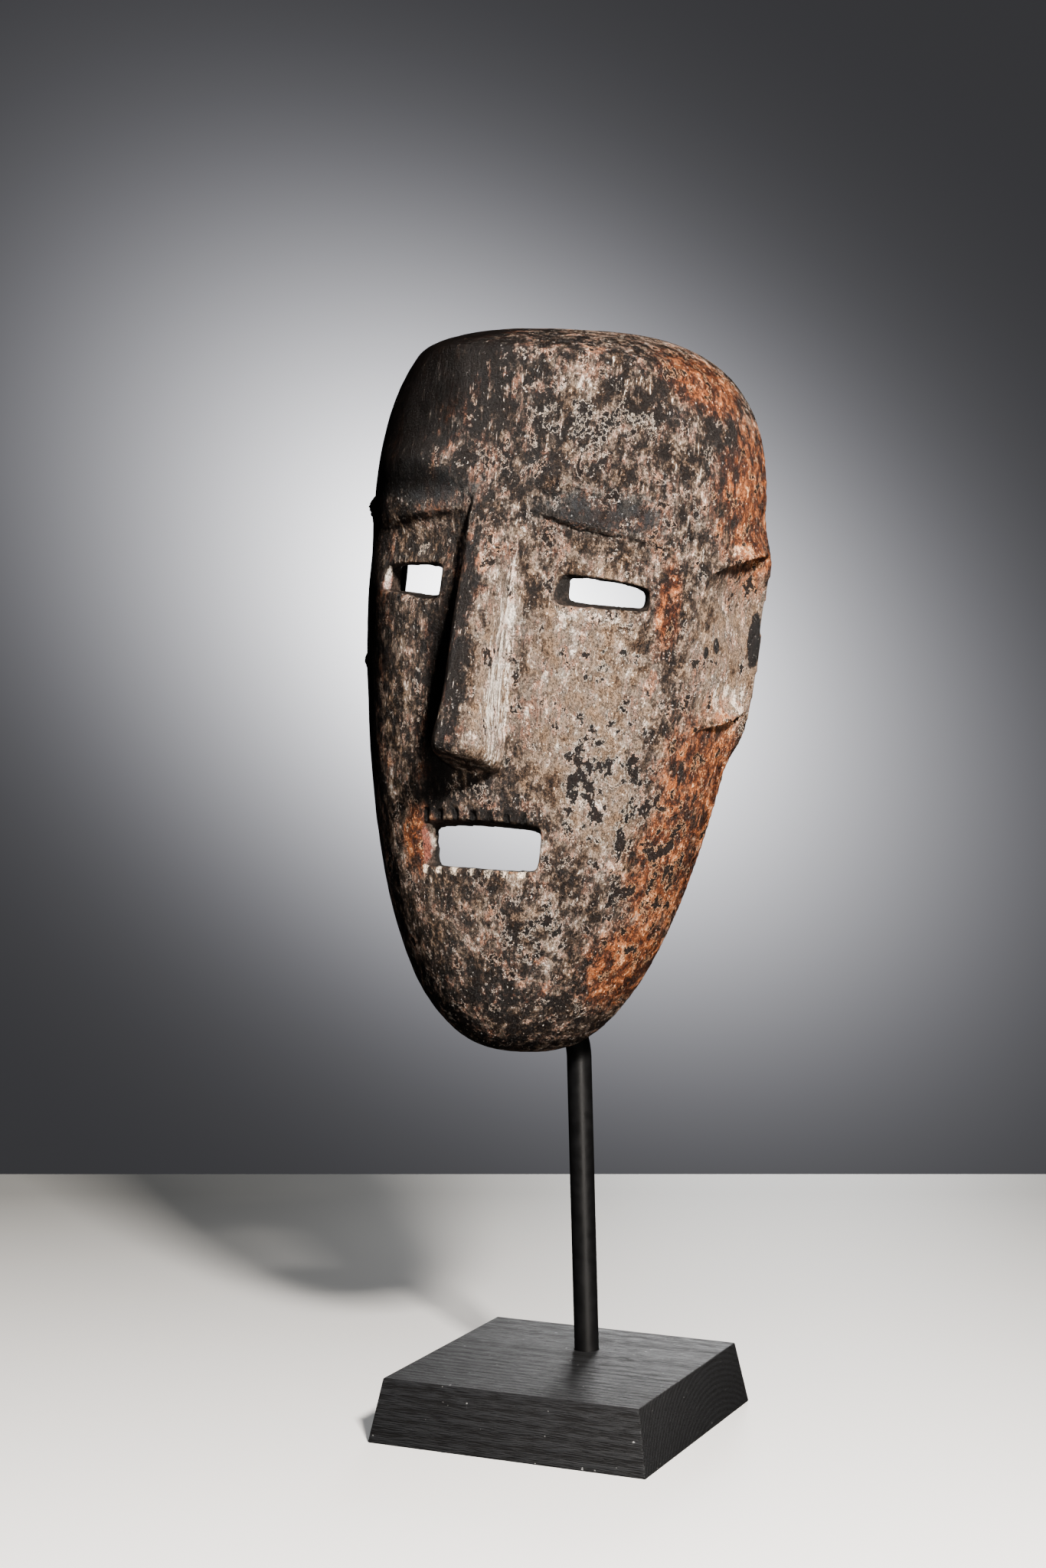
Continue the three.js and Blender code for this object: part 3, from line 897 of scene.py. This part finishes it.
# Rod: round steel bar, bent forwards under the chin until it meets the inside of the mask
rodShape = {
    "radius": 6,
    "segments": 40,
    "foot": (2.3, 23.5, 30),
    "sunk": 20,
    "bendStart": (0.3, 18.5, 172),
    "bendRadius": 20,
    "bendAngle": 50,
    "bendSteps": 16,
    "reach": 85,
}


# Draws a ring of edges out by the offset, and gives the new ring
def extrudeRing(bm, ring, offset):
    result = bmesh.ops.extrude_edge_only(bm, edges=ring)
    verts = [item for item in result["geom"] if isinstance(item, bmesh.types.BMVert)]
    bmesh.ops.translate(bm, verts=verts, vec=offset)
    return [item for item in result["geom"] if isinstance(item, bmesh.types.BMEdge)]


def rodDirection():
    return (Vector(rodShape["bendStart"]) - Vector(rodShape["foot"])).normalized()


def rodLean():
    return rodDirection().to_track_quat("Z", "Y").to_matrix().to_4x4()


def buildRod():
    bendStart = Vector(rodShape["bendStart"])
    up = rodDirection()
    start = Vector(rodShape["foot"]) - up * rodShape["sunk"]
    bm = bmesh.new()
    bmesh.ops.create_circle(bm, segments=rodShape["segments"], radius=rodShape["radius"],
                            cap_ends=True, matrix=Matrix.Translation(start) @ rodLean())
    ring = extrudeRing(bm, [e for e in bm.edges if e.is_boundary], bendStart - start)
    angle = math.radians(rodShape["bendAngle"])
    verts = list(dict.fromkeys(vertex for edge in ring for vertex in edge.verts))
    spun = bmesh.ops.spin(bm, geom=verts + ring, cent=bendStart + Vector((0, -rodShape["bendRadius"], 0)),
                          axis=(1, 0, 0), angle=angle, steps=rodShape["bendSteps"])
    ring = [item for item in spun["geom_last"] if isinstance(item, bmesh.types.BMEdge)]
    ahead = Matrix.Rotation(angle, 3, "X") @ up
    ring = extrudeRing(bm, ring, ahead * rodShape["reach"])
    bmesh.ops.holes_fill(bm, edges=ring)
    bmesh.ops.remove_doubles(bm, verts=bm.verts, dist=0.01)
    bm.normal_update()
    bmesh.ops.recalc_face_normals(bm, faces=bm.faces)
    bm.transform(Matrix.Scale(metresPerMm, 4))
    rod = pieceFrom(bm, "bentSteelRod")
    wall = bpy.data.objects.new("wall", mask.data.copy())
    bpy.context.collection.objects.link(wall)
    combine(rod, [wall], "DIFFERENCE")
    rod.data.shade_smooth()
    rod.data.set_sharp_from_angle(angle=math.radians(40))
    print("rod: bent and trimmed")
    return rod


# Widths of the patterns in mm
blackPaint = {"tones": ("#030303", "#070708"), "roughness": (0.36, 0.5), "haze": 7.14, "grit": 1.11}


# Satin black paint on steel: smooth and near black, with one soft line of light along it
def satinBlackPaint():
    material = emptyMaterial("satinBlackPaintedSteel")
    tree = material.node_tree
    place = addNode(tree, "ShaderNodeTexCoord").outputs["Object"]
    haze = addNode(tree, "ShaderNodeTexNoise", None,
                   {"Vector": place, "Scale": 1000 / blackPaint["haze"], "Detail": 4})
    grit = addNode(tree, "ShaderNodeTexNoise", None,
                   {"Vector": place, "Scale": 1000 / blackPaint["grit"], "Detail": 2})
    smooth, coarse = blackPaint["roughness"]
    rough = addNode(tree, "ShaderNodeMapRange", None,
                    {"Value": haze.outputs["Fac"], "From Min": 0.3, "From Max": 0.7,
                     "To Min": smooth, "To Max": coarse})
    bump = addNode(tree, "ShaderNodeBump", None,
                   {"Height": grit.outputs["Fac"], "Strength": 0.3, "Distance": 0.0001})
    low, high = [linearColour(code) for code in blackPaint["tones"]]
    tint = addNode(tree, "ShaderNodeMixRGB", None,
                   {"Fac": haze.outputs["Fac"], "Color1": low, "Color2": high})
    shader = addNode(tree, "ShaderNodeBsdfPrincipled", None,
                     {"Base Color": tint.outputs["Color"], "Roughness": rough.outputs["Result"],
                      "Specular IOR Level": 0.25, "Normal": bump.outputs["Normal"]})
    addNode(tree, "ShaderNodeOutputMaterial", None, {"Surface": shader.outputs["BSDF"]})
    return material


rod = buildRod()
rod.data.materials.clear()
rod.data.materials.append(satinBlackPaint())
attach(rod, "root")
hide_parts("rod")


# Plinth: a square block with sloping sides, bored for the rod
plinthShape = {"side": 140, "height": 30, "inset": 5.5, "bevel": 0.7, "boreRadius": 6.3, "boreDepth": 20.3}


def buildPlinth():
    side = plinthShape["side"]
    height = plinthShape["height"]
    bm = bmesh.new()
    bmesh.ops.create_cube(bm, size=1, matrix=Matrix.Translation((0, 0, height / 2))
                          @ Matrix.Diagonal((side, side, height, 1)))
    topShare = 1 - 2 * plinthShape["inset"] / side
    bmesh.ops.scale(bm, verts=[v for v in bm.verts if v.co.z > 1], vec=(topShare, topShare, 1))
    bmesh.ops.bevel(bm, geom=bm.edges, affect="EDGES", offset=plinthShape["bevel"], segments=3,
                    profile=0.5, material=-1)
    plinth = pieceFrom(bm, "bevelledPlinth")
    bore = bmesh.new()
    bmesh.ops.create_cone(bore, segments=rodShape["segments"], cap_ends=True,
                          radius1=plinthShape["boreRadius"], radius2=plinthShape["boreRadius"],
                          depth=2 * plinthShape["boreDepth"],
                          matrix=Matrix.Translation(rodShape["foot"]) @ rodLean())
    combine(plinth, [pieceFrom(bore, "bore")], "DIFFERENCE")
    plinth.data.transform(Matrix.Scale(metresPerMm, 4))
    plinth.data.shade_smooth()
    plinth.data.set_sharp_from_angle(angle=math.radians(35))
    print("plinth: bevelled and bored")
    return plinth


# Widths and lengths of the patterns in mm
stain = {
    "tones": ("#020203", "#191a1c"),
    "dustTone": "#a5a5a5",
    "ringSpacing": 2.625,
    "heart": (0, -30, 62),  # puts the centre of the rings below the block, towards its back
    "ringScale": (120, 1000, 1000),
    "heartTurn": (0.05, 0.0, 0.03),
    "poreWidth": 0.45,
    "poreLength": 9,
    "cloud": 22.2,
    "dust": 2.38,
}
waveSpacing = 0.314  # between the rings of a wave pattern at a scale of 1


# Open-grained hardwood under matt black stain: grain runs along X, so the top shows fine
# lines and the right side shows curved growth rings, with a little dust in the pores
def blackStainedWood():
    material = emptyMaterial("blackStainedHardwood")
    tree = material.node_tree
    place = addNode(tree, "ShaderNodeTexCoord").outputs["Object"]
    heart = addNode(tree, "ShaderNodeMapping", None,
                    {"Vector": place, "Location": stain["heart"], "Scale": stain["ringScale"],
                     "Rotation": stain["heartTurn"]})
    rings = addNode(tree, "ShaderNodeTexWave", {"wave_type": "RINGS", "rings_direction": "X"},
                    {"Vector": heart.outputs["Vector"], "Scale": waveSpacing / stain["ringSpacing"],
                     "Distortion": 1.2, "Detail": 3, "Detail Scale": 0.06})
    finePerMetre = 1000 / stain["poreWidth"]
    fibres = addNode(tree, "ShaderNodeMapping", None,
                     {"Vector": place, "Scale": (1000 / stain["poreLength"], finePerMetre, finePerMetre)})
    pores = addNode(tree, "ShaderNodeTexNoise", None,
                    {"Vector": fibres.outputs["Vector"], "Scale": 1, "Detail": 3})
    cloud = addNode(tree, "ShaderNodeTexNoise", None,
                    {"Vector": place, "Scale": 1000 / stain["cloud"], "Detail": 5})
    dust = addNode(tree, "ShaderNodeTexNoise", None,
                   {"Vector": place, "Scale": 1000 / stain["dust"], "Detail": 2})
    betweenPores = addNode(tree, "ShaderNodeMapRange", None,
                           {"Value": pores.outputs["Fac"], "From Min": 0.38, "From Max": 0.6})
    lines = addNode(tree, "ShaderNodeMath", {"operation": "MULTIPLY_ADD"},
                    {0: rings.outputs["Fac"], 1: 0.5, 2: betweenPores.outputs["Result"]}).outputs[0]
    tone = addNode(tree, "ShaderNodeMath", {"operation": "MULTIPLY_ADD"},
                   {0: cloud.outputs["Fac"], 1: 0.5, 2: lines})
    level = addNode(tree, "ShaderNodeMapRange", None,
                    {"Value": tone.outputs[0], "From Min": 0.65, "From Max": 1.5})
    low, high = [linearColour(code) for code in stain["tones"]]
    wood = addNode(tree, "ShaderNodeMixRGB", None,
                   {"Fac": level.outputs["Result"], "Color1": low, "Color2": high})
    fleck = addNode(tree, "ShaderNodeMapRange", None,
                    {"Value": dust.outputs["Fac"], "From Min": 0.74, "From Max": 0.78, "To Max": 0.5})
    dusted = addNode(tree, "ShaderNodeMixRGB", None,
                     {"Fac": fleck.outputs["Result"], "Color1": wood.outputs["Color"],
                      "Color2": linearColour(stain["dustTone"])})
    rough = addNode(tree, "ShaderNodeMapRange", None, {"Value": lines, "To Min": 0.75, "To Max": 0.55})
    bump = addNode(tree, "ShaderNodeBump", None, {"Height": lines, "Strength": 0.7, "Distance": 0.00035})
    shader = addNode(tree, "ShaderNodeBsdfPrincipled", None,
                     {"Base Color": dusted.outputs["Color"], "Roughness": rough.outputs["Result"],
                      "Specular IOR Level": 0.2, "Normal": bump.outputs["Normal"]})
    addNode(tree, "ShaderNodeOutputMaterial", None, {"Surface": shader.outputs["BSDF"]})
    return material


plinth = buildPlinth()
plinth.data.materials.clear()
plinth.data.materials.append(blackStainedWood())
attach(plinth, "root")
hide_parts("plinth")


# Pale floor, in metres, with painted shade that greys it towards the back
floorSetup = {"half": 0.62, "front": "#ffffff", "back": "#7d7d7b", "fade": (-0.25, 0.55), "roughness": 0.6}


# Matt paint without a mirror image, so only the shadow shows on it, with painted shade that darkens it
# towards the back
def mattPaint():
    material = emptyMaterial("paleMattPaint")
    tree = material.node_tree
    place = addNode(tree, "ShaderNodeTexCoord")
    parts = addNode(tree, "ShaderNodeSeparateXYZ", None, {"Vector": place.outputs["Object"]})
    near, far = floorSetup["fade"]
    # Painted shade: darker towards the back of the floor
    depth = addNode(tree, "ShaderNodeMapRange", None,
                    {"Value": parts.outputs["Y"], "From Min": near, "From Max": far})
    paint = addNode(tree, "ShaderNodeMixRGB", None,
                    {"Fac": depth.outputs["Result"], "Color1": linearColour(floorSetup["front"]),
                     "Color2": linearColour(floorSetup["back"])})
    shader = addNode(tree, "ShaderNodeBsdfPrincipled", None,
                     {"Base Color": paint.outputs["Color"], "Roughness": floorSetup["roughness"]})
    addNode(tree, "ShaderNodeOutputMaterial", None, {"Surface": shader.outputs["BSDF"]})
    return material


def buildFloor():
    bm = bmesh.new()
    bmesh.ops.create_grid(bm, x_segments=1, y_segments=1, size=floorSetup["half"])
    floor = pieceFrom(bm, "floor")
    floor.rotation_euler.z = math.radians(cameraSetup["turn"])
    floor.data.materials.append(mattPaint())
    floor.visible_diffuse = False  # no light thrown back up, so the shadows stay deep
    floor.visible_glossy = False
    print("floor laid")


buildFloor()

# Soft boxes: key and its low echo from the right, weak ones overhead and from the left,
# and one behind that shows the hollow
lamps = {
    "key": {"from": (1.04, -1.15, 1.2), "size": 0.2, "power": 180, "colour": "#fff7ee"},
    "low": {"from": (0.95, -1.15, 0.12), "size": 0.4, "power": 16, "colour": "#fff7ee"},
    "top": {"from": (0.35, -0.75, 1.75), "size": 0.25, "power": 4, "colour": "#ffffff"},
    "fill": {"from": (-0.9, -1.35, 0.4), "size": 0.3, "power": 1.1, "colour": "#dfe9ff"},
    "behind": {"from": (-0.38, 1.45, 0.38), "size": 0.4, "power": 11, "colour": "#ffffff"},
}
lampAim = (0, 0, 0.35)

# Backdrop: dark grey, with a slanting oval pool of light on it behind the mask. Its light
# fades by exp(-distance ** falloff), with the distance measured in its two reaches.
backdrop = {
    "towards": (-0.4127, 0.9124, 0.0109),
    "slant": 38,  # degrees that its long axis drops to the right
    "reach": (4.92, 3.31),  # degrees
    "falloff": 1.32,
    "colours": ("#b4b4bb", "#ffffff"),
    "strengths": (0.09, 7.6),
    "light": 0.006,
}


def addLamps():
    for name, form in lamps.items():
        data = bpy.data.lights.new(name, "AREA")
        data.size = form["size"]
        data.energy = form["power"]
        data.color = linearColour(form["colour"])[:3]
        lamp = bpy.data.objects.new(name, data)
        lamp.location = form["from"]
        lamp.rotation_euler = (Vector(lampAim) - lamp.location).to_track_quat("-Z", "Y").to_euler()
        bpy.context.collection.objects.link(lamp)
    print("lamps set")


def addBackdrop():
    world = bpy.data.worlds.new("greyBackdrop")
    world.use_nodes = True
    tree = world.node_tree
    tree.nodes.clear()
    direction = addNode(tree, "ShaderNodeTexCoord").outputs["Generated"]
    middle = Vector(backdrop["towards"]).normalized()
    right = middle.cross(Vector((0, 0, 1))).normalized()
    long = Matrix.Rotation(math.radians(backdrop["slant"]), 3, middle) @ right
    squares = []
    for axis, reach in zip((long, middle.cross(long)), backdrop["reach"]):
        along = addNode(tree, "ShaderNodeVectorMath", {"operation": "DOT_PRODUCT"},
                        {0: direction, 1: axis / math.radians(reach)})
        squares.append((along.outputs["Value"], along.outputs["Value"]))
    faded = addNode(tree, "ShaderNodeMath", {"operation": "POWER"},
                    {0: weightedSum(tree, squares), 1: backdrop["falloff"] / 2})
    negative = addNode(tree, "ShaderNodeMath", {"operation": "MULTIPLY"}, {0: faded.outputs[0], 1: -1.0})
    share = addNode(tree, "ShaderNodeMath", {"operation": "EXPONENT"}, {0: negative.outputs[0]}).outputs[0]
    low, high = [linearColour(code) for code in backdrop["colours"]]
    colour = addNode(tree, "ShaderNodeMixRGB", None, {"Fac": share, "Color1": low, "Color2": high})
    dimmest, pool = backdrop["strengths"]
    strength = addNode(tree, "ShaderNodeMath", {"operation": "MULTIPLY_ADD"}, {0: share, 1: pool, 2: dimmest})
    seen = addNode(tree, "ShaderNodeBackground", None,
                   {"Color": colour.outputs["Color"], "Strength": strength.outputs[0]})
    unseen = addNode(tree, "ShaderNodeBackground", None,
                     {"Color": (1, 1, 1, 1), "Strength": backdrop["light"]})
    path = addNode(tree, "ShaderNodeLightPath")
    both = addNode(tree, "ShaderNodeMixShader", None,
                   {"Fac": path.outputs["Is Camera Ray"], 1: unseen.outputs[0], 2: seen.outputs[0]})
    addNode(tree, "ShaderNodeOutputWorld", None, {"Surface": both.outputs[0]})
    bpy.context.scene.world = world
    print("backdrop set")


addLamps()
addBackdrop()
